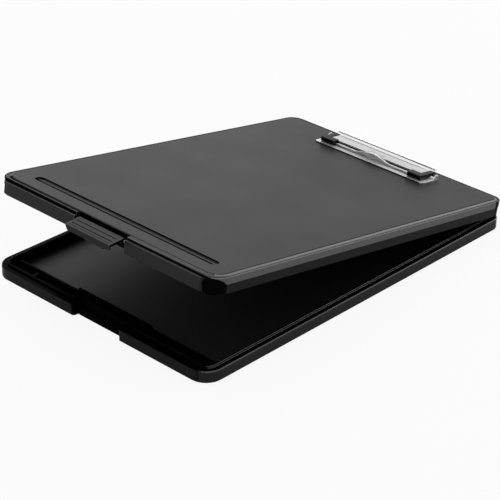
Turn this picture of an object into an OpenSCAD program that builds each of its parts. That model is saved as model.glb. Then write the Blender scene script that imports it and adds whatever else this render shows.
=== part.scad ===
// Slim storage clipboard: a shallow tray under a hinged writing-board lid,
// a pivoting front latch and a sprung steel paper clip on the lid.
// X runs across, +Y runs from the latch to the hinge, +Z is up.
// The origin is the centre of the tray's bottom face. Millimetres.

/* [Case] */
// Overall width of the case
case_w = 241; // [200:1:280]
// Overall length of tray and lid, without the hinge barrels
case_l = 356; // [300:1:400]
// Plan radius of the front corners
front_r = 15.5; // [14:0.5:22]
// Plan radius of the back corners
back_r = 10.5; // [10:0.5:20]
// Angle at which the lid stands open
lid_open = 10.05; // [0:0.05:60]
// Height of the closed case
case_h = 25; // [22:0.5:32]
// Gap between the tray's rim and the lid's skirt when closed
seam_gap = 0.4; // [0.3:0.1:1]

/* [Tray] */
// Height of the tray's outer rim
rim_h = 10; // [8:0.1:12]
// Thickness of the tray's floor
floor_t = 2; // [1.2:0.1:3]
// Radius of the tray's bottom edge
foot_r = 1; // [0.6:0.1:3]
// Width of the rim ledge outside the lip
ledge_w = 5; // [4.5:0.1:7]
// Height of the lip above the ledge
lip_h = 1.6; // [1:0.1:2.5]
// Thickness of the lip
lip_t = 1.8; // [1.2:0.1:2.5]
// Clear width of the pen trough
trough_w = 12.2; // [9:0.1:14]
// Thickness of the divider behind the trough
divider_t = 1.6; // [1.2:0.1:2.5]
// Height of the low stretches of the divider
divider_low_h = 9; // [5:0.1:10]
// Height of the raised stretch of the divider
divider_high_h = 11.6; // [10.5:0.1:14]
// Left end of the raised stretch
divider_high_x0 = -39.5; // [-60:0.5:-10]
// Right end of the raised stretch
divider_high_x1 = 43; // [10:0.5:60]
// Distance of the pen ramp's foot from the middle of the trough
pen_ramp_x = 75; // [60:1:90]
// Height of the pen ramp
pen_ramp_h = 5.5; // [3:0.1:7]

/* [Latch notch] */
// Width of the notch in the tray's front
notch_w = 50; // [40:1:70]
// Depth of the notch
notch_d = 5.2; // [4:0.1:6]
// Radius of the rim's ends beside the notch
notch_r = 4; // [2:0.1:5]
// Height of the ledge inside the notch
notch_ledge_h = 6; // [4:0.1:7]
// Thickness of the catch wall behind the notch
catch_wall_t = 1.6; // [1.2:0.1:2]
// Width of the notch's ledge in front of the catch wall
catch_ledge_w = 4.4; // [3.5:0.1:5]
// Height of the catch wall
catch_h = 12.5; // [11.5:0.1:13]
// Half width of the step in the lip round the notch, beyond the notch
lip_jog = 5; // [4:0.1:7]
// How far the catch ridge stands out of the wall
catch_ridge = 1.1; // [0.6:0.1:1.3]
// Height of the catch ridge
catch_ridge_h = 1.2; // [0.8:0.1:1.6]

/* [Lid] */
// Thickness of the lid's top
lid_t = 2.4; // [2:0.1:3]
// Thickness of the lid's skirt
skirt_t = 3.5; // [2.5:0.1:4]
// How far the skirt is set back below the side band
skirt_in = 0.8; // [0.4:0.1:1.5]
// Radius of the bead round the top
bead_r = 1.1; // [0.6:0.1:2]
// Drop of the bead below the flat top
bead_drop = 0.3; // [0.1:0.1:0.8]
// Distance of the sloped strip's outer edge from the side
strip_in = 2; // [1.5:0.1:4]
// Distance of the sloped strip's outer edge from the front
strip_front = 3.8; // [3:0.1:6]
// Width of the sloped strip
strip_w = 2.9; // [1:0.1:5]
// Drop of the sloped strip
strip_drop = 0.8; // [0.3:0.1:1.5]
// Height of the shadow line round the side
shadow_z = 18.3; // [17:0.1:20]
// Width of the shadow line
shadow_w = 0.8; // [0.5:0.1:1.5]
// Depth of the shadow line below the side band
shadow_d = 1.1; // [1:0.1:1.6]
// How far the corners are set back from the bands and bumpers
corner_in = 0.4; // [0.3:0.1:0.9]
// Height of the front's bottom edge
front_z = 12; // [10.8:0.1:13]
// Drop of the front bumpers below the lid's top
bumper_drop = 2.5; // [1.5:0.1:3.5]
// Radius of the bumpers' top edge
bumper_r = 2.2; // [1:0.1:3]
// Distance from a bumper's outer end to the case's side
bumper_end = 12.5; // [8:0.5:20]
// Length of the groove across the lid's front
groove_l = 200; // [150:1:210]
// Width of the groove
groove_w = 9; // [6:0.1:11]
// Depth of the groove
groove_d = 1.2; // [0.6:0.1:1.4]
// Distance of the groove from the case's front
groove_in = 24.4; // [18:0.1:40]
// Thickness of the ribs under the lid
rib_t = 1.6; // [1:0.1:2.5]
// Depth of the ribs under the lid
rib_h = 1.2; // [0.6:0.1:1.4]

/* [Hinge] */
// Outer radius of the hinge barrels
barrel_r = 2.8; // [2.4:0.1:3.4]
// Radius of the hinge pins
hinge_pin_r = 1.2; // [0.8:0.05:1.5]
// Distance of the hinge axis behind the case
hinge_out = 0.4; // [0.3:0.1:1]
// Distance of each hinge from the case's side
hinge_in = 48.5; // [35:0.5:70]
// Width of the lid's barrel in each hinge
lid_barrel_w = 16; // [10:1:30]
// Width of each of the tray's barrels
tray_barrel_w = 10; // [6:1:20]
// Gap between neighbouring barrels
barrel_gap = 0.4; // [0.3:0.1:1]

/* [Latch] */
// Width of the latch
latch_w = 49; // [38:1:60]
// Gap between the latch and each side of its recess
latch_gap = 3.5; // [2:0.1:5]
// Distance of the recess's back wall from the case's front
recess_in = 5.2; // [5:0.1:7]
// Distance of the latch's pivot from the case's front
latch_pivot_in = 2.4; // [2.2:0.1:2.6]
// Depth of the latch's pivot below the lid's top
latch_pivot_drop = 5; // [4.6:0.1:5.4]
// Radius of the latch's barrel
latch_barrel_r = 2.3; // [2:0.1:2.4]
// Radius of the latch's pin
latch_pin_r = 1.1; // [0.8:0.05:1.2]
// How far the pin sits in each wall of the recess
latch_pin_seat = 2.5; // [1.5:0.1:4]
// Thickness of the latch's plate
latch_t = 2; // [1.5:0.1:2.5]
// Overhang of the latch's tip beyond the case's front
latch_over = 12.2; // [8:0.1:14]
// Drop of the latch's tip below its barrel's top
latch_drop = 2.8; // [1:0.1:4]
// Height of the latch's front lip
latch_lip_h = 5.3; // [3:0.1:6]
// How far the latch turns down to lock
latch_turn = 60; // [50:1:62]
// Width of the hook under the latch
hook_w = 20; // [14:1:36]

/* [Clip] */
// Width of the clip's base plate
clip_w = 122; // [100:0.2:150]
// Depth of the clip's base plate
clip_d = 24.8; // [22:0.1:32]
// Distance of the base plate's back edge from the case's back
clip_in = 15.6; // [12:0.1:40]
// Thickness of the clip's steel plates
sheet_t = 0.8; // [0.6:0.1:1.2]
// Thickness of the base plate
base_t = 1; // [0.8:0.1:1.5]
// Corner radius of the base plate
base_r = 3; // [1:0.5:6]
// Height of the clip's pivot over the lid's top
pivot_up = 2.8; // [2.7:0.05:2.9]
// Distance of the clip's pivot from the base plate's back edge
pivot_in = 3.4; // [3.2:0.1:6]
// Radius of the clip's pivot rod
rod_r = 0.75; // [0.6:0.05:0.8]
// Height of the jaw's flat top over the lid's top
jaw_up = 5.2; // [5.1:0.1:6]
// Distance of the jaw's lip from the base plate's front edge
jaw_in = 9; // [7:0.1:11]
// Gap between the closed jaw and the base plate
jaw_gap = 0.4; // [0.2:0.1:1]
// Depth of the visor in front of the jaw's lip
visor_d = 2.5; // [1.5:0.1:3.5]
// Step down from the jaw's flat top to the visor
visor_drop = 2.2; // [1.6:0.1:2.6]
// Half width of the wave in the visor
arch_half_w = 21.5; // [14:0.5:28]
// Height of the wave in the visor
arch_h = 3.6; // [2.8:0.1:4]
// Height of the lever's edge over the lid's top
lever_up = 7.8; // [7:0.1:10]
// Distance of the lever's edge behind the bend
lever_run = 3.2; // [2.5:0.1:6]
// Gap between the jaw and each ear of the base plate
ear_gap = 4.8; // [3:0.1:6]
// Length of each corner grip along the jaw's front
grip_front_l = 14.8; // [8:0.1:20]
// Length of each corner grip along the jaw's side
grip_side_l = 21.3; // [14:0.1:22]
// Width of each corner grip's side arm
grip_side_w = 5; // [4:0.1:7]
// How far the grips stand out of the jaw's side
grip_out = 1.4; // [0.8:0.1:1.8]
// How far the grips stand out in front of the visor
grip_ahead = 3.3; // [1:0.1:4]
// Distance of the outer rivets from the ends of the base plate
rivet_in = 21; // [18:0.5:30]
// Radius of the rivets' shanks
rivet_r = 1.6; // [1:0.1:2]

/* [Hidden] */
$fn = 48;

eps = 0.01;
big = 400;
running_gap = 0.05;      // radial clearance of a barrel on its pin
sweep_gap = 0.3;         // clearance round a part that turns
rim_edge = 0.4;          // broken edge of the tray's rim

front_y = -case_l / 2;
back_y = case_l / 2;
lid_z0 = rim_h + seam_gap;
hinge_x = case_w / 2 - hinge_in;
hinge_y = back_y + hinge_out;
hinge_z = rim_h + seam_gap / 2;

lip_in = ledge_w + lip_t;
notch_y = front_y + notch_d;
catch_y0 = notch_y + catch_ledge_w;
catch_y1 = catch_y0 + catch_wall_t;
divider_y = front_y + lip_in + trough_w;

latch_y = front_y + latch_pivot_in;
latch_z = case_h - latch_pivot_drop;
recess_w = latch_w + 2 * latch_gap;
recess_y = front_y + recess_in;
recess_wall_t = 2;
recess_wall_z0 = catch_h + 0.5;

clip_y1 = back_y - clip_in;
clip_y0 = clip_y1 - clip_d;
pivot_y = clip_y1 - pivot_in;
pivot_z = case_h + pivot_up;
jaw_w = clip_w - 2 * (base_t + ear_gap);
jaw_y = clip_y0 + jaw_in;
jaw_z = case_h + jaw_up;
jaw_foot_z = case_h + base_t + jaw_gap;
lever_y = pivot_y + 2.2;
visor_y = jaw_y - visor_d;
visor_z = jaw_z - visor_drop;
rivet_y = clip_y0 + 15;

// --- Plane shapes -------------------------------------------------------

// r holds the radius of the front corners and that of the back corners.
module two_radius_rect(w, l, r) {
    translate([-w / 2, r[0] - l / 2]) square([w, l - r[0] - r[1]]);
    for (i = [0, 1]) {
        translate([r[i] - w / 2, (i - 1) * l / 2]) square([w - 2 * r[i], l / 2]);
        for (x = [-1, 1])
            translate([x * (w / 2 - r[i]), (2 * i - 1) * (l / 2 - r[i])]) circle(r[i]);
    }
}

module rounded_rect(w, l, r) {
    two_radius_rect(w, l, [r, r]);
}

// Corner radii of the case's plan, set in by some distance.
function case_r(inset = 0) = [front_r - inset, back_r - inset];

// --- Slab with a shaped edge ---------------------------------------------

// The edge is a list of [distance in from the side, height], from the bottom
// up, and it goes round a rectangle with rounded corners.
function section(w, edge) = concat(
    [for (p = edge) [w / 2 - p[0], p[1]]],
    [for (i = [len(edge) - 1:-1:0]) [edge[i][0] - w / 2, edge[i][1]]]);

function half_section(side, half, edge) = concat(
    [[0, edge[0][1]]], [for (p = edge) [side * (half - p[0]), p[1]]],
    [[0, edge[len(edge) - 1][1]]]);

module shaped_slab(w, l, r, edge) {
    translate([0, (r[0] - r[1]) / 2, 0]) rotate([90, 0, 0])
        linear_extrude(l - r[0] - r[1], center = true) polygon(section(w, edge));
    for (i = [0, 1]) {
        side = 2 * i - 1;
        rotate([90, 0, 90]) linear_extrude(w - 2 * r[i], center = true)
            polygon(half_section(side, l / 2, edge));
        for (x = [-1, 1])
            translate([x * (w / 2 - r[i]), side * (l / 2 - r[i]), 0])
                rotate_extrude() polygon(half_section(1, r[i], edge));
    }
}

module block(x0, x1, y0, y1, z0, z1) {
    translate([x0, y0, z0]) cube([x1 - x0, y1 - y0, z1 - z0]);
}

module x_rod(r, x0, x1, y, z) {
    translate([x0, y, z]) rotate([0, 90, 0]) cylinder(r = r, h = x1 - x0);
}

// A shape drawn in Y and Z, drawn out along X.
module x_prism(x0, x1) {
    translate([x0, 0, 0]) rotate([90, 0, 90]) linear_extrude(x1 - x0) children();
}

// --- Tray -----------------------------------------------------------------

function foot_edge() = concat(
    [for (a = [-90:15:0]) [foot_r - foot_r * cos(a), foot_r + foot_r * sin(a)]],
    [[0, rim_h - rim_edge], [rim_edge, rim_h]]);

module notch_plan() {
    difference() {
        translate([-notch_w / 2 - notch_r, front_y - 1])
            square([notch_w + 2 * notch_r, notch_d + 1]);
        for (x = [-1, 1])
            translate([x * (notch_w / 2 + notch_r), front_y + notch_r]) circle(notch_r);
    }
}

// Outline of the lip, or of the room inside it, stepping in behind the notch.
module lip_plan(inset, notch_half, notch_back) {
    difference() {
        two_radius_rect(case_w - 2 * inset, case_l - 2 * inset, case_r(inset));
        translate([-notch_half, front_y - 1]) square([2 * notch_half, notch_back - front_y + 1]);
    }
}

module tray_barrels() {
    for (s = [-1, 1], t = [-1, 1]) {
        x = s * hinge_x + t * (lid_barrel_w / 2 + barrel_gap + tray_barrel_w / 2);
        x_rod(barrel_r, x - tray_barrel_w / 2, x + tray_barrel_w / 2, hinge_y, hinge_z);
    }
}

module lid_barrels() {
    for (s = [-1, 1])
        x_rod(barrel_r, s * hinge_x - lid_barrel_w / 2, s * hinge_x + lid_barrel_w / 2,
              hinge_y, hinge_z);
}

module tray() {
    notch_half = notch_w / 2 + lip_jog;
    color("#141414")
    difference() {
        union() {
            difference() {
                union() {
                    shaped_slab(case_w, case_l, case_r(), foot_edge());
                    translate([0, 0, rim_h - 1]) linear_extrude(lip_h + 1)
                        lip_plan(ledge_w, notch_half, catch_y0);
                }
                translate([0, 0, floor_t]) linear_extrude(rim_h + lip_h)
                    lip_plan(lip_in, notch_half + lip_t, catch_y1);
                translate([0, 0, -1]) linear_extrude(rim_h + 2) notch_plan();
                block(-notch_w / 2, notch_w / 2, front_y - 1, catch_y0, notch_ledge_h, big);
            }
            // Catch wall with the ridge that the latch's hook holds.
            block(-notch_w / 2, notch_w / 2, catch_y0, catch_y1, notch_ledge_h - 1, catch_h);
            block(-notch_w / 2 + 2, notch_w / 2 - 2, catch_y0 - catch_ridge, catch_y0 + eps,
                  catch_h - catch_ridge_h, catch_h);
            divider();
            tray_barrels();
        }
        // Room for the lid's barrels to turn in.
        for (s = [-1, 1]) {
            half = lid_barrel_w / 2 + barrel_gap;
            x_rod(barrel_r + sweep_gap, s * hinge_x - half, s * hinge_x + half, hinge_y, hinge_z);
        }
        hinge_bores(hinge_pin_r);
    }
}

module divider() {
    inner = case_w / 2 - lip_in;
    block(-inner - 0.5, inner + 0.5, divider_y, divider_y + divider_t, floor_t - 0.5, divider_low_h);
    // Raised stretch, square at one end and rounded down at the other.
    r = divider_high_h - divider_low_h;
    block(divider_high_x0, divider_high_x1 - r, divider_y, divider_y + divider_t,
          divider_low_h - 1, divider_high_h);
    translate([divider_high_x1 - r, divider_y + divider_t, divider_low_h])
        rotate([90, 0, 0]) cylinder(r = r, h = divider_t);
    // Ramp that tips a pen up out of the trough.
    translate([0, divider_y + eps, 0]) rotate([90, 0, 0]) linear_extrude(trough_w + 0.5)
        polygon([[-pen_ramp_x, floor_t - 0.5], [-pen_ramp_x, floor_t],
                 [-pen_ramp_x - 9, floor_t + pen_ramp_h],
                 [-pen_ramp_x - 12, floor_t + pen_ramp_h], [-pen_ramp_x - 12, floor_t - 0.5]]);
}

module hinge_bores(r) {
    for (s = [-1, 1]) {
        half = lid_barrel_w / 2 + barrel_gap + tray_barrel_w;
        x_rod(r, s * hinge_x - half - 1, s * hinge_x + half + 1, hinge_y, hinge_z);
    }
}

module hinge_pin(side) {
    half = lid_barrel_w / 2 + barrel_gap + tray_barrel_w;
    color("silver")
        x_rod(hinge_pin_r, side * hinge_x - half, side * hinge_x + half, hinge_y, hinge_z);
}

// --- Lid ------------------------------------------------------------------

// Turns what is drawn on the closed lid to where the open lid holds it.
module on_lid() {
    translate([0, hinge_y, hinge_z]) rotate([-lid_open, 0, 0])
        translate([0, -hinge_y, -hinge_z]) children();
}

band_top = case_h - bead_drop;
step_z = case_h - bumper_drop;
step_y = front_y + bumper_r;

// Edge of the lid's body: skirt, shadow line, side band and bead.
function lid_edge() = concat(
    [[skirt_in + 0.6, lid_z0], [skirt_in, lid_z0 + 0.6],
     [skirt_in, shadow_z - shadow_w / 2], [shadow_d, shadow_z - shadow_w / 2],
     [shadow_d, shadow_z + shadow_w / 2], [0, shadow_z + shadow_w / 2]],
    [for (a = [0:15:90]) [bead_r - bead_r * cos(a), band_top - bead_r + bead_r * sin(a)]]);

// The flat top with the sloped strip round it.
plate_w = case_w - 2 * strip_in;
plate_l = case_l - strip_in - strip_front;
plate_mid_y = (strip_front - strip_in) / 2;
plate_r = case_r(strip_in / 2);

module top_plate() {
    foot_z = case_h - lid_t;
    low_z = case_h - strip_drop;
    translate([0, plate_mid_y, 0]) shaped_slab(plate_w, plate_l, plate_r,
        [[0, foot_z], [0, low_z], [strip_w, case_h]]);
}

module plate_seat() {
    translate([0, plate_mid_y, case_h - strip_drop]) linear_extrude(big)
        two_radius_rect(plate_w, plate_l, plate_r);
}

// Step along the front that leaves the bumpers lower than the top.
module front_step() {
    x_prism(-big, big)
        polygon([[front_y - 1, step_z], [step_y, step_z], [step_y, band_top - 0.4],
                 [step_y + 0.4, band_top], [step_y + 0.4, case_h + 1], [front_y - 1, case_h + 1]]);
}

// Underside of the front, higher than the skirt.
module front_rise() {
    x_prism(-big, big)
        polygon([[front_y - 1, lid_z0 - 1], [front_y + 6, lid_z0 - 1], [front_y + 6, lid_z0],
                 [front_y, front_z], [front_y - 1, front_z]]);
}

// A shell round the corners as deep as they are set back.
module outer_shell() {
    linear_extrude(case_h)
        difference() {
            two_radius_rect(case_w + 2, case_l + 2, case_r(-1));
            two_radius_rect(case_w - 2 * corner_in, case_l - 2 * corner_in, case_r(corner_in));
        }
}

// The side bands start with a nose at the front corners.
module front_corner_cut() {
    low = front_z + 1.4;
    reach = 15.2;
    rise = band_top - 0.7 - low;
    intersection() {
        outer_shell();
        difference() {
            x_prism(-big, big)
                polygon(concat([[front_y - 2, low]],
                    [for (a = [0:10:90]) [front_y + 1 + reach * cos(a), low + rise * sin(a)]],
                    [[front_y - 2, low + rise]]));
            block(-case_w / 2 + bumper_end, case_w / 2 - bumper_end, -big, big, 0, big);
        }
    }
}

// The bands end with round ends before the back corners.
module back_corner_cut() {
    end_y = back_y - 12.5;
    low = shadow_z;
    rise = (case_h - low) / 2;
    module end_profile() {
        polygon(concat([[big, low]],
            [for (a = [-90:15:90]) [end_y - 2 + 2 * cos(a), low + rise + rise * sin(a)]],
            [[big, case_h]]));
    }
    intersection() {
        outer_shell();
        x_prism(-big, big) end_profile();
        union() for (s = [-1, 1])
            block(s * case_w / 2 - back_r, s * case_w / 2 + back_r, 0, big, 0, big);
    }
}

module bumpers() {
    intersection() {
        x_prism(-case_w / 2, case_w / 2)
            polygon(concat(
                [[front_y + 4, front_z - 1], [front_y + 1, front_z - 0.3], [front_y, front_z]],
                [for (a = [0:15:90]) [front_y + bumper_r - bumper_r * cos(a),
                                      step_z - bumper_r + bumper_r * sin(a)]],
                [[front_y + 4, step_z]]));
        linear_extrude(big) difference() {
            translate([0, front_y + 5]) rounded_rect(case_w - 2 * bumper_end, 10, 2);
            square([recess_w, 2 * big], center = true);
        }
    }
}

module lid_room() {
    difference() {
        translate([0, 0, lid_z0 - 1]) linear_extrude(case_h - lid_t - lid_z0 + 1)
            two_radius_rect(case_w - 2 * skirt_t, case_l - 2 * skirt_t, case_r(skirt_t));
        block(-big, big, -big, recess_y + 0.5, case_h - lid_t - 3, big);
        // Walls behind and beside the latch's recess.
        block(-recess_w / 2 - 3, recess_w / 2 + 3, -big, recess_y + recess_wall_t,
              recess_wall_z0, big);
    }
}

// The groove is steep at the back and slopes up to the front.
module groove_cut() {
    half = groove_w / 2;
    translate([0, front_y + groove_in, case_h]) intersection() {
        x_prism(-groove_l, groove_l)
            polygon([[-half, 1], [-half, 0], [0, -groove_d], [half, -groove_d], [half, 1]]);
        linear_extrude(3 * groove_d, center = true)
            rounded_rect(groove_l, groove_w, half - eps);
    }
}

module lid_ribs() {
    z1 = case_h - lid_t + eps;
    z0 = z1 - rib_h;
    inner_w = case_w / 2 - skirt_t + 0.5;
    for (x = [-1, 1])
        block(x * case_w / 4 - rib_t / 2, x * case_w / 4 + rib_t / 2,
              recess_y + recess_wall_t - 0.5, back_y - skirt_t + 0.5, z0, z1);
    for (y = [-case_l / 4, 0, case_l / 4])
        block(-inner_w, inner_w, y - rib_t / 2, y + rib_t / 2, z0, z1);
}

module lid() {
    color("#262626") on_lid()
    difference() {
        union() {
            difference() {
                union() {
                    difference() {
                        shaped_slab(case_w, case_l, case_r(), lid_edge());
                        plate_seat();
                        front_step();
                        front_rise();
                        front_corner_cut();
                        back_corner_cut();
                    }
                    top_plate();
                    bumpers();
                }
                lid_room();
                // Recess of the latch, open at the front and below.
                block(-recess_w / 2, recess_w / 2, front_y - 1, recess_y, 0, big);
                x_prism(-recess_w / 2, recess_w / 2)
                    polygon([[recess_y - 1, case_h + 1], [recess_y - 1, case_h - 2.2],
                             [recess_y, case_h - 2.2], [recess_y + 0.8, case_h],
                             [recess_y + 0.8, case_h + 1]]);
                for (s = [-1, 1], t = [-1, 1]) {
                    x = s * hinge_x + t * (lid_barrel_w / 2 + barrel_gap + tray_barrel_w / 2);
                    half = tray_barrel_w / 2 + barrel_gap;
                    x_rod(barrel_r + sweep_gap, x - half, x + half, hinge_y, hinge_z);
                }
            }
            lid_ribs();
            lid_barrels();
        }
        groove_cut();
        hinge_bores(hinge_pin_r + running_gap);
        x_rod(latch_pin_r, -recess_w / 2 - latch_pin_seat, recess_w / 2 + latch_pin_seat,
              latch_y, latch_z);
        for (x = rivet_xs()) translate([x, rivet_y, 0]) cylinder(r = rivet_r, h = big);
    }
}

// --- Latch ----------------------------------------------------------------

tip_y = front_y - latch_over;
plate_y = latch_y - 2.1;
plate_z = latch_z + latch_barrel_r;
tip_z = plate_z - latch_drop;
lip_z = tip_z - latch_lip_h;
hook_z1 = catch_h - catch_ridge_h - sweep_gap;
hook_t = 1.5;
hook_tip_y = catch_y0 - 0.4;

module latch_plate_section() {
    translate([latch_y, latch_z]) circle(latch_barrel_r);
    polygon([[latch_y, plate_z], [plate_y, plate_z - 0.25], [tip_y, tip_z],
             [tip_y + 0.3, tip_z - 1.1], [tip_y + 1.6, lip_z], [tip_y + 3.1, lip_z + 0.2],
             [tip_y + 2, tip_z - 1.9], [plate_y + 0.4, plate_z - latch_t - 0.3],
             [latch_y, latch_z]]);
}

// The hook, drawn where it stands when locked and turned back up to rest.
module latch_hook_section() {
    arm_l = 11.9;
    translate([latch_y, latch_z]) rotate(-latch_turn) translate([-latch_y, -latch_z])
        polygon([[hook_tip_y - arm_l, hook_z1 - hook_t], [hook_tip_y - 0.4, hook_z1 - hook_t],
                 [hook_tip_y, hook_z1 - hook_t + 0.4], [hook_tip_y, hook_z1],
                 [hook_tip_y - arm_l, hook_z1]]);
}

// Grooves across the plate, each at its share of the way to the tip.
module latch_grooves() {
    run = plate_y - tip_y;
    drop = plate_z - tip_z;
    for (g = [[0.24, 0.45, 0.6], [0.62, 0.45, 0.6], [0.85, 0.25, 0.35]])
        translate([0, plate_y - run * g[0], plate_z - drop * g[0]])
            rotate([atan(drop / run), 0, 0])
                block(-latch_w / 2 + 2.5, latch_w / 2 - 2.5, -g[1], g[1], -g[2], 1);
}

// Slanted ends of the lip.
module lip_ends() {
    for (s = [-1, 1])
        translate([0, tip_y + 4, 0]) rotate([90, 0, 0]) linear_extrude(10)
            polygon([[s * (latch_w / 2 + 1), tip_z - 1.1], [s * latch_w / 2, tip_z - 1.1],
                     [s * (latch_w / 2 - 1.5), lip_z - 1], [s * (latch_w / 2 + 1), lip_z - 1]]);
}

module latch_lever() {
    color("#2b2b2b") on_lid()
    difference() {
        union() {
            x_prism(-latch_w / 2, latch_w / 2) latch_plate_section();
            x_prism(-hook_w / 2, hook_w / 2) latch_hook_section();
        }
        latch_grooves();
        lip_ends();
        x_rod(latch_pin_r + running_gap, -latch_w, latch_w, latch_y, latch_z);
    }
}

module latch_pin() {
    half = recess_w / 2 + latch_pin_seat;
    color("silver") on_lid() x_rod(latch_pin_r, -half, half, latch_y, latch_z);
}

// --- Clip -----------------------------------------------------------------

function rivet_xs() = [rivet_in - clip_w / 2, 0, clip_w / 2 - rivet_in];

module clip_base_plate() {
    plate_z1 = case_h + base_t;
    fold_half = jaw_w / 2 + grip_out - grip_front_l;
    color("gainsboro") on_lid()
    difference() {
        union() {
            translate([0, (clip_y0 + clip_y1) / 2, case_h]) linear_extrude(base_t)
                rounded_rect(clip_w, clip_d, base_r);
            for (s = [-1, 1])
                x_prism(s * clip_w / 2 - (s + 1) / 2 * base_t, s * clip_w / 2 + (1 - s) / 2 * base_t)
                    polygon([[pivot_y - 6, case_h], [clip_y1 - base_r, case_h],
                             [pivot_y + 2, plate_z1 + 0.4], [pivot_y + 2, pivot_z + 1],
                             [pivot_y + 1, pivot_z + 2], [pivot_y - 1.6, pivot_z + 2]]);
        }
        x_rod(rod_r, -clip_w, clip_w, pivot_y, pivot_z);
        for (x = rivet_xs()) translate([x, rivet_y, 0]) cylinder(r = rivet_r, h = big);
        // Fold line along the front edge.
        block(-fold_half, fold_half, clip_y0 + 1.6, clip_y0 + 2.3, plate_z1 - 0.4, big);
    }
}

// Height of the wave in the visor at one place across the clip.
function arch(x) = arch_h * 0.5 * (1 + cos(180 * min(abs(x) / arch_half_w, 1)));

function arch_xs(half) = [for (i = [-10:10]) half * i / 10];

// Sheet of the visor, seen from the front.
module visor_section() {
    xs = concat([-jaw_w / 2], arch_xs(arch_half_w), [jaw_w / 2]);
    last = len(xs) - 1;
    polygon(concat(
        [for (x = xs) [x, visor_z + arch(x)]],
        [for (i = [last:-1:0]) [xs[i], visor_z - sheet_t + arch(xs[i])]]));
}

// Pressed rise behind the wave, running out into the flat top.
module wave_back() {
    half = arch_half_w * acos(2 * visor_drop / arch_h - 1) / 180;
    run = 8;
    foot = jaw_z - sheet_t / 2;
    intersection() {
        translate([0, jaw_y + run, 0]) rotate([90, 0, 0]) linear_extrude(run)
            polygon(concat([[-half, foot]], [for (x = arch_xs(half)) [x, visor_z + arch(x)]],
                           [[half, foot]]));
        x_prism(-half - 1, half + 1)
            polygon([[jaw_y, foot], [jaw_y, visor_z + arch_h], [jaw_y + 1, visor_z + arch_h],
                     [jaw_y + run, jaw_z], [jaw_y + run, foot]]);
    }
}

module jaw_sheet() {
    t = sheet_t;
    bend = 0.7;
    x_prism(-jaw_w / 2, jaw_w / 2)
        polygon([[jaw_y, jaw_foot_z], [jaw_y + t, jaw_foot_z], [jaw_y + t, jaw_z - t],
                 [lever_y, jaw_z - t], [lever_y + lever_run + 0.5, case_h + lever_up - 0.6],
                 [lever_y + lever_run, case_h + lever_up], [lever_y - 0.4, jaw_z],
                 [jaw_y + bend, jaw_z], [jaw_y, jaw_z - bend]]);
    translate([0, jaw_y + t / 2, 0]) rotate([90, 0, 0]) linear_extrude(visor_d + t / 2)
        visor_section();
    wave_back();
    // Ears that hang on the rod.
    for (s = [-1, 1]) {
        x0 = s * (jaw_w / 2 - t / 2) - t / 2;
        x_rod(pivot_up - base_t - 0.4, x0, x0 + t, pivot_y, pivot_z);
        block(x0, x0 + t, pivot_y - 1.2, pivot_y + 1.2, pivot_z, jaw_z - t / 2);
    }
}

module clip_jaw() {
    color("silver") on_lid()
    difference() {
        jaw_sheet();
        // Crease in front of the lever.
        block(-jaw_w / 2 + 8, jaw_w / 2 - 8, lever_y - 1.3, lever_y - 0.6, jaw_z - 0.3, big);
        x_rod(rod_r + running_gap, -clip_w, clip_w, pivot_y, pivot_z);
    }
}

module clip_pivot_rod() {
    half = clip_w / 2 + 0.4;
    color("silver") on_lid() x_rod(rod_r, -half, half, pivot_y, pivot_z);
}

// Black grip over one front corner of the jaw. side is -1 or 1.
module corner_grip(side) {
    outer = jaw_w / 2 + grip_out;
    y0 = visor_y - grip_ahead;
    front_w = grip_ahead + visor_d + sheet_t + 0.4;
    y1 = y0 + grip_side_l;
    top = jaw_z + 0.5;
    rise = 2.4;
    color("#1c1c1c") on_lid()
    difference() {
        mirror([side < 0 ? 1 : 0, 0, 0]) {
            x_prism(outer - grip_front_l, outer)
                polygon([[y0, jaw_foot_z], [y0 + front_w, jaw_foot_z],
                         [y0 + front_w, top], [y0 + 0.6, top], [y0, top - 0.6]]);
            x_prism(outer - grip_side_w, outer)
                polygon([[y0 + 1, jaw_foot_z], [y0 + front_w + 3, jaw_foot_z],
                         [y1, jaw_foot_z + rise], [y1, top], [y0 + 1, top]]);
        }
        jaw_sheet();
        x_rod(rod_r + sweep_gap, -clip_w, clip_w, pivot_y, pivot_z);
    }
}

// --- Torsion springs ------------------------------------------------------

spring_wire = 0.5;
spring_r = rod_r + 0.1 + spring_wire / 2;
spring_turns = 9;
spring_x = 22;
spring_leg = 2.8;

// Legs run back from the coil: one on the base plate, one under the lever.
function spring_path() = let(
    n = spring_turns * 12 + 6,
    half = spring_wire * 1.08 * n / 24,
    low = base_t + spring_wire / 2 - pivot_up,
    high = jaw_up - sheet_t - pivot_up - 0.15)
    concat(
    [[-half, spring_leg, low], [-half, spring_leg * 0.5, low - 0.01]],
    [for (i = [0:n]) let(a = 90 + 30 * i)
        [half * (2 * i / n - 1), spring_r * cos(a), -spring_r * sin(a)]],
    [[half, spring_leg * 0.5, (spring_r + high) / 2 - 0.05], [half, spring_leg, high]]);

// Tube of round wire through a list of points.
module wire(path, r, sides) {
    n = len(path);
    rings = [for (i = [0:n - 1])
        let(along = path[min(i + 1, n - 1)] - path[max(i - 1, 0)],
            dir = along / norm(along),
            side = cross(dir, [1, 0, 0]),
            u = side / norm(side),
            v = cross(dir, u))
        [for (k = [0:sides - 1]) path[i] + r * (cos(360 * k / sides) * u + sin(360 * k / sides) * v)]];
    points = [for (ring = rings, p = ring) p];
    walls = [for (i = [0:n - 2], k = [0:sides - 1])
        let(k1 = (k + 1) % sides)
        [i * sides + k, i * sides + k1, (i + 1) * sides + k1, (i + 1) * sides + k]];
    polyhedron(points, concat(walls,
        [[for (k = [sides - 1:-1:0]) k]],
        [[for (k = [0:sides - 1]) (n - 1) * sides + k]]));
}

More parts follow.
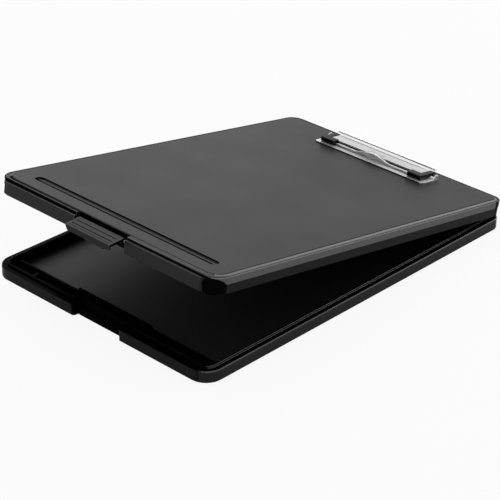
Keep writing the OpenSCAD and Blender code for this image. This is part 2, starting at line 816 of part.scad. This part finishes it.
module clip_spring(side) {
    color("dimgray") on_lid() translate([side * spring_x, pivot_y, pivot_z])
        wire(spring_path(), spring_wire / 2, 8);
}

// --- Fasteners ------------------------------------------------------------

module clip_rivet(i) {
    washer_t = 0.8;
    color("gainsboro") on_lid() translate([rivet_xs()[i], rivet_y, 0]) {
        translate([0, 0, case_h - lid_t - washer_t - 1])
            cylinder(r = rivet_r, h = lid_t + washer_t + base_t + 1.4);
        translate([0, 0, case_h + base_t]) cylinder(r = 2 * rivet_r, h = 0.8);
        translate([0, 0, case_h - lid_t - washer_t - 1]) cylinder(r = 2 * rivet_r, h = 1);
    }
}

module rivet_washer(i) {
    washer_t = 0.8;
    color("silver") on_lid() translate([rivet_xs()[i], rivet_y, case_h - lid_t - washer_t])
        difference() {
            cylinder(r = 3 * rivet_r, h = washer_t);
            translate([0, 0, -1]) cylinder(r = rivet_r, h = washer_t + 2);
        }
}

tray();
lid();
hinge_pin(-1);  // hinge_pin_left
hinge_pin(1);  // hinge_pin_right
latch_lever();
latch_pin();
clip_base_plate();
clip_jaw();
clip_pivot_rod();
clip_spring(-1);  // clip_spring_left
clip_spring(1);  // clip_spring_right
corner_grip(-1);  // corner_grip_left
corner_grip(1);  // corner_grip_right
clip_rivet(0);  // clip_rivet_left
clip_rivet(1);  // clip_rivet_middle
clip_rivet(2);  // clip_rivet_right
rivet_washer(0);  // rivet_washer_left
rivet_washer(1);  // rivet_washer_middle
rivet_washer(2);  // rivet_washer_right
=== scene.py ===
"""Looks of the storage clipboard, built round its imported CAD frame.

Blender works in metres. The places that pick a finish are in millimetres, and those on the lid
and its clip are given as they lie with the lid closed. Colours are sRGB hex.
"""
import math

import bpy
from mathutils import Matrix, Vector


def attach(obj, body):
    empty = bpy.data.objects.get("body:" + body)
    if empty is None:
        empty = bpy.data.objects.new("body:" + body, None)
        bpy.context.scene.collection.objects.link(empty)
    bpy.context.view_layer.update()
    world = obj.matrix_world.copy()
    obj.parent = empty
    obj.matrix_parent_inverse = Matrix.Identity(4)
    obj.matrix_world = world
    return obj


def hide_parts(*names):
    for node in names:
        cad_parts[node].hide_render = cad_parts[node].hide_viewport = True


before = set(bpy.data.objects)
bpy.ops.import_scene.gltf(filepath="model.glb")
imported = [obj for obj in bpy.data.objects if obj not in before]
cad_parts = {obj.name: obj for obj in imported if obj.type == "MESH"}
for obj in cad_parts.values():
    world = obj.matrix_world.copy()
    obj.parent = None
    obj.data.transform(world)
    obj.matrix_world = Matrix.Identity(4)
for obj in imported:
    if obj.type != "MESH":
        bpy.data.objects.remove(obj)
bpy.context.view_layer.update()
MM = 0.001
UP = Vector((0, 0, 1))

# The case's plan and the open lid's place.
CASE_W, CASE_L, FRONT_R, BACK_R = 241.0, 356.0, 15.5, 10.5
LID_OPEN, HINGE_Y, HINGE_Z = math.radians(10.05), 178.4, 10.2

# How nearly a face looks up: the height of its unit normal.
FLAT, DEAD_FLAT = 0.9, 0.99

# Where most of a noise pattern's values lie.
NOISE_LOW, NOISE_HIGH = 0.3, 0.7

# The tray. "Deep" is a distance in from the case's plan outline.
TRAY_FRONT_Y, TRAY_FRONT_HALF = -164, 112
WALL_TOP_Z, WALL_DEEP = 9.7, 0.2
RIM_Z, RIM_DEEP = 10.0, 0.5
LIP_Z, LIP_DEEP = 11.5, 4
TRAY_FLOOR_Z = 2.5
TRAY_SIDE_X = 100

# The lid.
GROOVE_Y, GROOVE_HALF_W, GROOVE_HALF_L, GROOVE_Z = -153.6, 4.6, 100.5, 23.5
STRIP_Z, STRIP_FRONT_Y = 24, -170
TOP_Z, BAND_TOP_Z = 23.7, 18.6
RECESS_HALF_W, RECESS_Y = 28.2, -171.7
BUMPER_HALF_L, BUMPER_Y, BUMPER_Z, BUMPER_DEEP = 108.6, -173.5, 22.6, 4.2
STEP_Y, STEP_Z, STEP_DEEP = -175, 22.4, 3
CORNER_X, CORNER_FRONT_Y, CORNER_BACK_Y = 108, -162, 164
SHADOW_LOW_Z, SHADOW_HIGH_Z = 17.85, 18.75
SKIN_DEEP, BAND_DEEP = 1.7, 2.5

# The base plate's fold and front edge, and the jaw's visor, ridge and lever.
FOLD_LOW_Y, FOLD_HIGH_Y = 139, 140.1
PLATE_FRONT_Y, PLATE_HALF_L = 138, 57
VISOR_Y, VISOR_STEP_LOW_Y, VISOR_STEP_HIGH_Y, VISOR_STEP_Z = 146.6, 146.4, 147.3, 28.2
RIDGE_LOW_Y, RIDGE_HIGH_Y, RIDGE_HALF_L, LEVER_Z = 159.8, 160.8, 54.5, 31.8


# --- Colours and node helpers ------------------------------------------------------------


def linear(hex_colour):
    """sRGB hex, such as "2b2b2b", as linear RGBA."""
    channels = [int(hex_colour[i:i + 2], 16) / 255 for i in (0, 2, 4)]
    return [c / 12.92 if c <= 0.04045 else ((c + 0.055) / 1.055) ** 2.4
            for c in channels] + [1.0]


def add(tree, kind, settings=None, **inputs):
    """Adds one node. A setting is an attribute; an input is a value or another node's socket.

    An input is named for its socket, with _ for a space, or by its number, such as i1.
    """
    node = tree.nodes.new(kind)
    for name, value in (settings or {}).items():
        setattr(node, name, value)
    for name, value in inputs.items():
        numbered = name[0] == "i" and name[1:].isdigit()
        socket = node.inputs[int(name[1:]) if numbered else name.replace("_", " ")]
        if isinstance(value, bpy.types.NodeSocket):
            tree.links.new(value, socket)
        else:
            socket.default_value = value
    return node


def new_material(name):
    material = bpy.data.materials.new(name)
    material.use_nodes = True
    material.node_tree.nodes.clear()
    return material, material.node_tree


def finish_material(tree, shader):
    output = add(tree, "ShaderNodeOutputMaterial")
    tree.links.new(shader.outputs[0], output.inputs["Surface"])


# --- Materials ---------------------------------------------------------------------------


def moulded_abs(name, colour, worn, roughness, ior, grain_mm=0.5, grain_depth=0.12):
    """Injection-moulded black ABS: spark-eroded grain that breaks up the gloss, and faint flow
    clouds, some 55 mm across, in the roughness. The grain is drawn coarser than the real 0.1 mm
    so that it shows."""
    material, tree = new_material(name)
    place = add(tree, "ShaderNodeTexCoord").outputs["Object"]
    grain = add(tree, "ShaderNodeTexNoise", Vector=place, Scale=1 / (grain_mm * MM), Detail=3.0,
                Roughness=0.6)
    cloud = add(tree, "ShaderNodeTexNoise", Vector=place, Scale=18.0, Detail=2.0)
    rough = add(tree, "ShaderNodeMapRange", Value=cloud.outputs["Fac"], i1=NOISE_LOW,
                i2=NOISE_HIGH, i3=roughness - 0.025, i4=roughness + 0.025)
    tint = add(tree, "ShaderNodeMix", {"data_type": "RGBA"}, Factor=grain.outputs["Fac"],
               i6=linear(colour), i7=linear(worn))
    bump = add(tree, "ShaderNodeBump", Height=grain.outputs["Fac"], Strength=grain_depth,
               Distance=0.05 * MM)
    shader = add(tree, "ShaderNodeBsdfPrincipled", Base_Color=tint.outputs[2],
                 Roughness=rough.outputs[0], IOR=ior, Normal=bump.outputs[0])
    finish_material(tree, shader)
    return material


def front_strip(name, colour, roughness, ior, shaded_x=-30, lit_x=-10):
    """Black ABS along the lid's front, with full reflection right of the latch and its
    reflection turned down left of it, as painted shade.
    """
    material, tree = new_material(name)
    place = add(tree, "ShaderNodeTexCoord").outputs["Object"]
    across = add(tree, "ShaderNodeSeparateXYZ", Vector=place).outputs["X"]
    gloss = add(tree, "ShaderNodeMapRange", Value=across, i1=shaded_x * MM, i2=lit_x * MM,
                i3=0.03, i4=0.5)
    grain = add(tree, "ShaderNodeTexNoise", Vector=place, Scale=1 / (0.5 * MM), Detail=3.0)
    rough = add(tree, "ShaderNodeMapRange", Value=grain.outputs["Fac"], i1=NOISE_LOW,
                i2=NOISE_HIGH, i3=roughness - 0.04, i4=roughness + 0.04)
    shader = add(tree, "ShaderNodeBsdfPrincipled", Base_Color=linear(colour), IOR=ior,
                 Roughness=rough.outputs[0], Specular_IOR_Level=gloss.outputs[0])
    finish_material(tree, shader)
    return material


def plated_or_bare_steel(name, colour, roughness, spread, pattern):
    """Steel whose gloss is uneven: pattern is how often the unevenness repeats in a metre."""
    material, tree = new_material(name)
    place = add(tree, "ShaderNodeTexCoord").outputs["Object"]
    scaled = add(tree, "ShaderNodeMapping", Vector=place, Scale=pattern)
    noise = add(tree, "ShaderNodeTexNoise", Vector=scaled.outputs[0], Scale=1.0, Detail=2.0)
    rough = add(tree, "ShaderNodeMapRange", Value=noise.outputs["Fac"], i1=NOISE_LOW,
                i2=NOISE_HIGH, i3=roughness - spread, i4=roughness + spread)
    shader = add(tree, "ShaderNodeBsdfPrincipled", Base_Color=linear(colour), Metallic=1.0,
                 Roughness=rough.outputs[0])
    finish_material(tree, shader)
    return material


def nickel_plate(name, colour, roughness):
    """Nickel on pressed steel sheet: faint rolling lines across it, some 80 mm long and drawn
    1 mm apart, coarser than the real ones, so that they show."""
    return plated_or_bare_steel(name, colour, roughness, 0.04, (12.0, 900.0, 900.0))


def drawn_wire(name, colour, roughness):
    """Drawn or turned steel: fine mottling in the gloss, about 1 mm across."""
    return plated_or_bare_steel(name, colour, roughness, 0.06, (900.0, 900.0, 900.0))


# Black ABS of the lid in lit and shaded copies: a soft sheen on the board; side strips, side
# bands, bumper rolls and thin pale edges paler as painted highlights; bumper faces, skirt and
# the dark bands between darker as painted shade.
LID_TOP = moulded_abs("abs_satin_writing_face", "19191a", "212122", 0.38, 1.33)
# Painted shade on the front strip left of the latch.
STRIP_FRONT = front_strip("abs_front_strip_painted_shade_left", "121213", 0.20, 1.52)
# Painted highlight: the side strips and beads are paler, as where a lamp catches them.
STRIP_SIDE_HIGHLIGHT = moulded_abs("abs_side_strip_painted_highlight", "626263", "6c6c6d", 0.25, 1.50, 0.5, 0.05)
# Painted sheen: the side bands are paler than the board, as if lit.
SIDE_BAND_SHEEN = moulded_abs("abs_side_band_painted_sheen", "464647", "4e4e4f", 0.36, 1.45)
# Painted highlight on the bumper rolls, painted shade on the bumper faces.
FRONT_ROLL_LIT = moulded_abs("abs_bumper_roll_painted_highlight", "282829", "303031", 0.30, 1.42)
FRONT_FACE_SHADED = moulded_abs("abs_bumper_face_painted_shade", "101011", "161617", 0.34, 1.34)
# Painted shade: the skirt under the side bands is darker.
SKIRT_SHADED = moulded_abs("abs_skirt_painted_shade", "080809", "0c0c0d", 0.30, 1.20)
INNER_FACE = moulded_abs("abs_ejector_side", "0c0c0d", "121213", 0.42, 1.35)

# Black ABS of recesses, corners, folds and creases: near black with close to no reflection,
# painted shade so that they read as deep.
SHADOW_GLOSS = moulded_abs("abs_painted_shade_recess", "020202", "040404", 0.18, 1.08, 0.4, 0.03)
# Painted shade in the crease round the writing face.
CREASE_SHADE = moulded_abs("abs_painted_crease_shade", "080809", "0c0c0d", 0.25, 1.12, 0.4, 0.03)

# Black ABS of the tray: semi-gloss walls, the front wall darker as painted shade, a satin
# floor, a deep black rim that is painted shade, and pale edges that are painted highlights.
TRAY_WALL = moulded_abs("abs_semi_gloss_wall", "0b0b0c", "101011", 0.30, 1.34, 0.5, 0.1)
TRAY_FRONT_SHADED = moulded_abs("abs_front_wall_painted_shade", "070708", "0b0b0c", 0.30, 1.24, 0.5, 0.1)
TRAY_FLOOR = moulded_abs("abs_satin_tray_floor", "161617", "1e1e1f", 0.40, 1.40, 0.6, 0.2)
RIM_SHADED = moulded_abs("abs_rim_painted_shade", "030303", "050505", 0.20, 1.06, 0.4, 0.04)
EDGE_HIGHLIGHT = moulded_abs("abs_painted_edge_highlight", "4a4a4b", "565657", 0.22, 1.50, 0.4, 0.04)

# Black ABS and rubberised plastic of the latch and grips: matt tops paler as painted highlight,
# over sides and grooves darkened as painted shade.
LATCH_TOP = moulded_abs("abs_satin_latch", "252526", "2d2d2e", 0.40, 1.38)
LATCH_SHADED = moulded_abs("abs_latch_painted_shade", "040404", "080808", 0.35, 1.25)
GRIP_TOP = moulded_abs("rubberised_grip_top", "202021", "28282a", 0.45, 1.34, 0.5, 0.1)
GRIP_SIDE_SHADED = moulded_abs("grip_side_painted_shade", "040404", "070707", 0.25, 1.25, 0.4, 0.05)

# Nickel plate of the clip: mirror-like on the jaw, frosted and tinted paler as a painted
# highlight on the plate, visor front and lever, and painted shade along folds and edges.
NICKEL = nickel_plate("nickel_plated_steel", "dcdcdc", 0.14)
NICKEL_SATIN = nickel_plate("satin_nickel_painted_highlight", "f2f2f2", 0.5)
NICKEL_SHADE_LINES = nickel_plate("nickel_painted_shade_lines", "262627", 0.45)

# Small steel parts: grey pins, darker oiled springs, pale zinc rivets.
PIN_STEEL = drawn_wire("bright_drawn_steel", "8c8c8e", 0.3)
SPRING_STEEL = drawn_wire("oiled_spring_steel", "77777a", 0.35)
ZINC = drawn_wire("zinc_plated_steel", "c8c9cc", 0.32)

# The CAD nodes that are seen as they are.
SMALL_PARTS = (
    (PIN_STEEL, ("clip_pivot_rod", "latch_pin", "hinge_pin_left", "hinge_pin_right")),
    (SPRING_STEEL, ("clip_spring_left", "clip_spring_right")),
    (ZINC, ("clip_rivet_left", "clip_rivet_middle", "clip_rivet_right",
            "rivet_washer_left", "rivet_washer_middle", "rivet_washer_right")),
)
for finish, node_names in SMALL_PARTS:
    for node_name in node_names:
        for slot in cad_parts[node_name].material_slots:
            slot.material = finish


# --- Places on the case ------------------------------------------------------------------


def on_closed_lid(place, normal=UP):
    """A place (metres) and a normal on the open lid, as they are with the lid closed, in mm."""
    back = Matrix.Rotation(LID_OPEN, 3, "X")
    hinge = Vector((0, HINGE_Y, HINGE_Z))
    return back @ (place / MM - hinge) + hinge, back @ normal


def depth_inside(x, y):
    """How far a place lies inside the case's plan outline, in mm."""
    radius = FRONT_R if y < 0 else BACK_R
    right, ahead = abs(x) - (CASE_W / 2 - radius), abs(y) - (CASE_L / 2 - radius)
    if right > 0 and ahead > 0:
        return radius - math.hypot(right, ahead)
    return radius - max(right, ahead)


def by_groove(x, y, half_length, half_width):
    """Whether a place on the lid is within some distances of the middle of the pen groove."""
    return abs(x) < half_length and abs(y - GROOVE_Y) < half_width


# --- Edges to soften ---------------------------------------------------------------------


def edge_length(mesh, edge):
    first, second = (mesh.vertices[v].co for v in edge.vertices)
    return (first - second).length


def face_pairs(mesh, wanted=lambda face: True):
    """The two faces on each edge that lies between two of the wanted faces."""
    sides = {}
    for face in mesh.polygons:
        if wanted(face):
            for loop in face.loop_indices:
                sides.setdefault(mesh.loops[loop].edge_index, []).append(face)
    return {edge: faces for edge, faces in sides.items() if len(faces) == 2}


def outer_corners(mesh, least_turn, least_length):
    """The convex edges that turn more than an angle and are long enough to be rounded."""
    return [edge for edge, (first, second) in face_pairs(mesh).items()
            if first.normal.angle(second.normal, 0) > least_turn
            and edge_length(mesh, mesh.edges[edge]) > least_length
            and (second.center - first.center).dot(first.normal) < 0]


def plate_folds(mesh):
    """Both edges of the fold line along the front of the clip's base plate."""
    def on_fold(vertex):
        _, y, z = on_closed_lid(mesh.vertices[vertex].co)[0]
        return 139.1 < y < 140.0 and z > 25.9
    return {edge.index for edge in mesh.edges
            if all(on_fold(v) for v in edge.vertices) and edge_length(mesh, edge) > 20 * MM}


def top_creases(mesh):
    """The shallow bends of the lid's top, where the writing face meets the sloped strip."""
    def on_top(face):
        (x, y, z), turned = on_closed_lid(face.center, face.normal)
        return (face.normal.z > 0.8 and z > 24.3 and turned.z > FLAT
                and (abs(y - GROOVE_Y) > 5 or abs(x) > 101))
    return {edge for edge, (first, second) in face_pairs(mesh, on_top).items()
            if 0.17 < first.normal.angle(second.normal, 0) < 0.35}


def tray_edge_here(middle):
    """Only the edges along the tray's sides, above its foot, are rounded; the rounding takes a
    pale painted highlight.
    """
    return middle.z > 4 * MM and abs(middle.x) > 113 * MM


def lid_edge_here(middle):
    """The lid's edges are rounded and take a pale painted highlight, apart from those that have
    to stay dark and sharp.
    """
    x, y, z = on_closed_lid(middle)[0]
    corner = abs(x) > 107 and (y < -160 and z < 24 or y > 163)
    shadow_line = 17 < z < 19.5 and y > -176
    # No painted highlight on the front strip left of the latch, where it is painted shade.
    shaded_strip = y < BUMPER_Y and z > 24 and x < -28
    hinge_side = y > 174 and z < 14
    return z > 13 and not (hinge_side or corner or by_groove(x, y, 102, 5) or shadow_line
                           or shaded_strip)


# --- Softened copies of the mouldings ----------------------------------------------------


def round_edges(piece, edges, width_mm, finish_index, segments):
    """Bevels some edges of a mesh and gives the new faces one of its finishes."""
    mesh = piece.data
    weight = mesh.attributes.get("bevel_weight_edge") \
        or mesh.attributes.new("bevel_weight_edge", "FLOAT", "EDGE")
    for index, item in enumerate(weight.data):
        item.value = 1.0 if index in edges else 0.0
    bevel = piece.modifiers.new("rounded_edges", "BEVEL")
    bevel.width = width_mm * MM
    bevel.segments = segments
    bevel.limit_method = "WEIGHT"
    bevel.use_clamp_overlap = False
    bevel.material = finish_index
    bpy.ops.object.modifier_apply(modifier=bevel.name)


def softened_copy(node_name, body, finishes, pick, edge_mm, edge_finish,
                  round_here=None, smooth=15.2, creases=None):
    """A merged copy of a CAD node with its faces finished by place and its edges rounded.

    creases is a function that finds edges, their width in mm and their finish, a painted shade
    in the crease.
    """
    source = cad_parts[node_name]
    bpy.ops.object.select_all(action="DESELECT")
    source.select_set(True)
    bpy.context.view_layer.objects.active = source
    bpy.ops.object.duplicate()
    piece = bpy.context.object
    piece.name = node_name + "_moulded"
    bpy.ops.object.mode_set(mode="EDIT")
    bpy.ops.mesh.select_all(action="SELECT")
    bpy.ops.mesh.remove_doubles(threshold=0.01 * MM)
    bpy.ops.mesh.dissolve_limited(angle_limit=math.radians(0.5))
    bpy.ops.object.mode_set(mode="OBJECT")
    mesh = piece.data
    mesh.materials.clear()
    for finish in finishes:
        mesh.materials.append(finish)
    for face in mesh.polygons:
        face.material_index = finishes.index(pick(face.center, face.normal))
    if creases:
        find, width_mm, crease_finish = creases
        round_edges(piece, find(mesh), width_mm, finishes.index(crease_finish), 1)
    chosen = set()
    for edge in outer_corners(mesh, math.radians(28), 0.9 * MM):
        middle = sum((mesh.vertices[v].co for v in mesh.edges[edge].vertices), Vector()) / 2
        if round_here is None or round_here(middle):
            chosen.add(edge)
    round_edges(piece, chosen, edge_mm, finishes.index(edge_finish), 2)
    bpy.ops.object.shade_smooth_by_angle(angle=math.radians(smooth))
    even = piece.modifiers.new("flat_faces_stay_flat", "WEIGHTED_NORMAL")
    even.keep_sharp = True
    even.weight = 100
    bpy.ops.object.modifier_apply(modifier=even.name)
    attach(piece, body)
    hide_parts(node_name)
    return piece


def tray_finish(place, normal):
    x, y, z = place / MM
    inside = depth_inside(x, y)
    ahead = y < TRAY_FRONT_Y and abs(x) < TRAY_FRONT_HALF
    side_wall = inside < WALL_DEEP and z < WALL_TOP_Z
    front_wall = ahead and inside < RIM_DEEP and normal.z < FLAT
    # Painted shade: the front wall and the undersides ahead are darker than the side walls.
    if normal.z < -0.5 or side_wall or front_wall:
        return TRAY_FRONT_SHADED if ahead else TRAY_WALL
    # Painted highlight on the rim's chamfer along the right side and on the lip's top along
    # both sides.
    if inside < RIM_DEEP and z < RIM_Z and 0.3 < normal.z < FLAT:
        return EDGE_HIGHLIGHT if x > TRAY_SIDE_X else TRAY_WALL
    if z > LIP_Z and inside > LIP_DEEP and abs(x) > TRAY_SIDE_X:
        return EDGE_HIGHLIGHT
    if normal.z > FLAT and z < TRAY_FLOOR_Z:
        return TRAY_FLOOR
    # Painted shade: the rim and the rest of the inside are near black.
    return RIM_SHADED


def lid_finish(place, normal):
    (x, y, z), turned = on_closed_lid(place, normal)
    inside = depth_inside(x, y)
    # Painted shade on the pen groove's walls.
    if (by_groove(x, y, GROOVE_HALF_L, GROOVE_HALF_W) and z > GROOVE_Z
            and turned.z < DEAD_FLAT):
        return SHADOW_GLOSS
    # Painted highlight on the side strips; the front strip is painted shade left of the latch.
    if FLAT < turned.z < DEAD_FLAT and z > STRIP_Z:
        return STRIP_FRONT if y < STRIP_FRONT_Y else STRIP_SIDE_HIGHLIGHT
    if turned.z > FLAT and z > TOP_Z and inside > SKIN_DEEP:
        return LID_TOP
    # Painted shade in the latch recess, on the step above the bumpers, in the corners and along
    # the shadow line.
    if abs(x) < RECESS_HALF_W and y < RECESS_Y:
        return SHADOW_GLOSS
    # Painted highlight on the bumpers' rolls, painted shade on their faces.
    if y < BUMPER_Y and abs(x) < BUMPER_HALF_L and z < BUMPER_Z and inside < BUMPER_DEEP:
        return FRONT_ROLL_LIT if turned.z > 0.1 else FRONT_FACE_SHADED
    if y < STEP_Y and z > STEP_Z and inside < STEP_DEEP:
        return SHADOW_GLOSS
    corner = abs(x) > CORNER_X and (y < CORNER_FRONT_Y or y > CORNER_BACK_Y)
    if corner and 0.1 < inside < 1.5 and 13 < z < 23.9:
        return SHADOW_GLOSS
    if SHADOW_LOW_Z < z < SHADOW_HIGH_Z and inside < SKIN_DEEP:
        return SHADOW_GLOSS
    # Painted highlight on the beads and side bands.
    if inside < BAND_DEEP and z > BAND_TOP_Z:
        return STRIP_SIDE_HIGHLIGHT if turned.z > 0.2 else SIDE_BAND_SHEEN
    # Painted shade on the skirt below the side band.
    return SKIRT_SHADED if inside < SKIN_DEEP else INNER_FACE


def latch_finish(place, normal):
    (_, y, _), turned = on_closed_lid(place, normal)
    top = abs(turned.x) < 0.5 and turned.z > 0.5 and y < -175
    # Painted shade on the latch's sides and grooves; its top is the paler, lit copy.
    return LATCH_TOP if top else LATCH_SHADED


def grip_finish(place, normal):
    _, turned = on_closed_lid(place, normal)
    # Painted shade on the grip's sides; its top is the paler, lit copy.
    return GRIP_TOP if turned.z > 0.7 else GRIP_SIDE_SHADED


def plate_finish(place, normal):
    (x, y, z), turned = on_closed_lid(place, normal)
    fold = FOLD_LOW_Y < y < FOLD_HIGH_Y and 25.3 < z < 25.95
    front_edge = y < PLATE_FRONT_Y and turned.y < -0.9 and abs(x) < PLATE_HALF_L
    # Painted shade along the plate's fold and front edge.
    return NICKEL_SHADE_LINES if fold or front_edge else NICKEL_SATIN


def jaw_finish(place, normal):
    (x, y, z), turned = on_closed_lid(place, normal)
    ridge = (abs(x) < RIDGE_HALF_L and RIDGE_LOW_Y < y < RIDGE_HIGH_Y and 29.8 < z < 30.19)
    step = VISOR_STEP_LOW_Y < y < VISOR_STEP_HIGH_Y and z > VISOR_STEP_Z and turned.y < -0.5
    # Painted shade along the jaw's ridge and the visor's step.
    if ridge or step:
        return NICKEL_SHADE_LINES
    # The visor's front and the lever take the satin nickel, frosted and painted paler as a
    # highlight.
    return NICKEL_SATIN if y < VISOR_Y or z > LEVER_Z else NICKEL


softened_copy("tray", "tray_body",
              [TRAY_WALL, TRAY_FRONT_SHADED, RIM_SHADED, TRAY_FLOOR, EDGE_HIGHLIGHT],
              tray_finish, 0.35, EDGE_HIGHLIGHT, tray_edge_here)
softened_copy("lid", "lid_body",
              [LID_TOP, STRIP_FRONT, STRIP_SIDE_HIGHLIGHT, SIDE_BAND_SHEEN, FRONT_ROLL_LIT, FRONT_FACE_SHADED, SKIRT_SHADED,
               SHADOW_GLOSS, CREASE_SHADE, INNER_FACE, EDGE_HIGHLIGHT],
              lid_finish, 0.3, EDGE_HIGHLIGHT, lid_edge_here, creases=(top_creases, 0.5, CREASE_SHADE))
softened_copy("latch_lever", "latch_body",
              [LATCH_TOP, LATCH_SHADED, EDGE_HIGHLIGHT], latch_finish, 0.2, EDGE_HIGHLIGHT)
for side in ("left", "right"):
    softened_copy("corner_grip_" + side, "jaw_body",
                  [GRIP_TOP, GRIP_SIDE_SHADED], grip_finish, 0.5, GRIP_TOP, smooth=50)
softened_copy("clip_base_plate", "lid_body",
              [NICKEL_SATIN, NICKEL_SHADE_LINES], plate_finish, 0.15, NICKEL_SATIN, smooth=40,
              creases=(plate_folds, 0.3, NICKEL_SHADE_LINES))
softened_copy("clip_jaw", "jaw_body",
              [NICKEL, NICKEL_SATIN, NICKEL_SHADE_LINES], jaw_finish, 0.12, NICKEL_SATIN, smooth=32)


# --- Studio ------------------------------------------------------------------------------


def studio_floor():
    """Pale paper just under the tray, almost white to the eye, that keeps the shadow."""
    bpy.ops.mesh.primitive_plane_add(size=12, location=(0, 0, -0.5 * MM))
    floor = bpy.context.object
    floor.name = "studio_floor"
    material, tree = new_material("studio_paper")
    path = add(tree, "ShaderNodeLightPath")
    paper = add(tree, "ShaderNodeBsdfDiffuse", Color=(0.8, 0.8, 0.8, 1))
    glow = add(tree, "ShaderNodeEmission", Color=(1, 1, 1, 1), Strength=1.0)
    seen = add(tree, "ShaderNodeMath", {"operation": "MULTIPLY"},
               i0=path.outputs["Is Camera Ray"], i1=0.9)
    mix = add(tree, "ShaderNodeMixShader", Fac=seen.outputs[0], i1=paper.outputs[0],
              i2=glow.outputs[0])
    finish_material(tree, mix)
    floor.data.materials.append(material)


def studio_world():
    """A pale tent: white to the eye, and even light on every surface. In reflections it is
    dimmer overhead and dark beyond its edge, which stands at 143 degrees from the right."""
    world = bpy.data.worlds.new("studio_tent")
    bpy.context.scene.world = world
    world.use_nodes = True
    tree = world.node_tree
    tree.nodes.clear()
    soft = {"interpolation_type": "SMOOTHSTEP"}
    path = add(tree, "ShaderNodeLightPath")
    way = add(tree, "ShaderNodeTexCoord").outputs["Generated"]
    height = add(tree, "ShaderNodeSeparateXYZ", Vector=way).outputs["Z"]
    overhead = add(tree, "ShaderNodeMapRange", soft, Value=height, i1=0.85, i2=0.95, i3=1.0,
                   i4=0.5)
    beyond = math.radians(143 + 90)
    across = add(tree, "ShaderNodeVectorMath", {"operation": "DOT_PRODUCT"}, i0=way,
                 i1=(math.cos(beyond), math.sin(beyond), 0)).outputs["Value"]
    edge = add(tree, "ShaderNodeMapRange", soft, Value=across, i1=-0.03, i2=0.05, i3=1.0,
               i4=0.15)
    paler = add(tree, "ShaderNodeMapRange", Value=across, i1=-0.45, i2=0.0, i3=0.62, i4=1.3)
    low_part = add(tree, "ShaderNodeMath", {"operation": "MULTIPLY"}, i0=paler.outputs[0],
                   i1=edge.outputs[0])
    tent = add(tree, "ShaderNodeMath", {"operation": "MULTIPLY"}, i0=overhead.outputs[0],
               i1=low_part.outputs[0])
    glossy = add(tree, "ShaderNodeMix", {"data_type": "FLOAT"},
                 Factor=path.outputs["Is Glossy Ray"], i2=0.72, i3=tent.outputs[0])
    strength = add(tree, "ShaderNodeMix", {"data_type": "FLOAT"},
                   Factor=path.outputs["Is Camera Ray"], i2=glossy.outputs[0], i3=1.0)
    shader = add(tree, "ShaderNodeBackground", Color=(1, 1, 1, 1), Strength=strength.outputs[0])
    output = add(tree, "ShaderNodeOutputWorld")
    tree.links.new(shader.outputs[0], output.inputs["Surface"])


def softbox(name, place, target, size, watts):
    light = bpy.data.lights.new(name, "AREA")
    light.shape = "RECTANGLE"
    light.size, light.size_y = size
    light.energy = watts
    lamp = bpy.data.objects.new(name, light)
    bpy.context.scene.collection.objects.link(lamp)
    lamp.location = place
    lamp.rotation_euler = (Vector(target) - Vector(place)).to_track_quat("-Z", "Y").to_euler()


def studio_camera():
    """Long lens from the front right, looking down at the open front corner."""
    azimuth, elevation, roll = (math.radians(a) for a in (43.25, 28.69, 0.813))
    distance, target = 1.5022, Vector((0.010715, -0.016917, 0.010))
    back = Vector((math.sin(azimuth) * math.cos(elevation),
                   -math.cos(azimuth) * math.cos(elevation), math.sin(elevation)))
    right = Vector((math.cos(azimuth), math.sin(azimuth), 0))
    up = back.cross(right)
    right, up = (math.cos(roll) * right + math.sin(roll) * up,
                 math.cos(roll) * up - math.sin(roll) * right)
    camera = bpy.data.cameras.new("studio_camera")
    camera.lens, camera.sensor_width = 132.35, 36
    camera.clip_end = 50
    holder = bpy.data.objects.new("studio_camera", camera)
    bpy.context.scene.collection.objects.link(holder)
    matrix = Matrix((right, up, back)).transposed().to_4x4()
    matrix.translation = target + distance * back
    holder.matrix_world = matrix
    bpy.context.scene.camera = holder


studio_floor()
studio_world()
# Behind, for the side edges; at the left, for the front edges and the clip.
softbox("back_softbox", (0.25, 1.35, 0.95), (0, 0.1, 0.05), (1.3, 0.55), 5)
softbox("left_softbox", (-0.96, 0.18, 1.34), (0, 0.15, 0.05), (0.55, 0.55), 3)
studio_camera()
bpy.context.scene.view_settings.view_transform = "Standard"
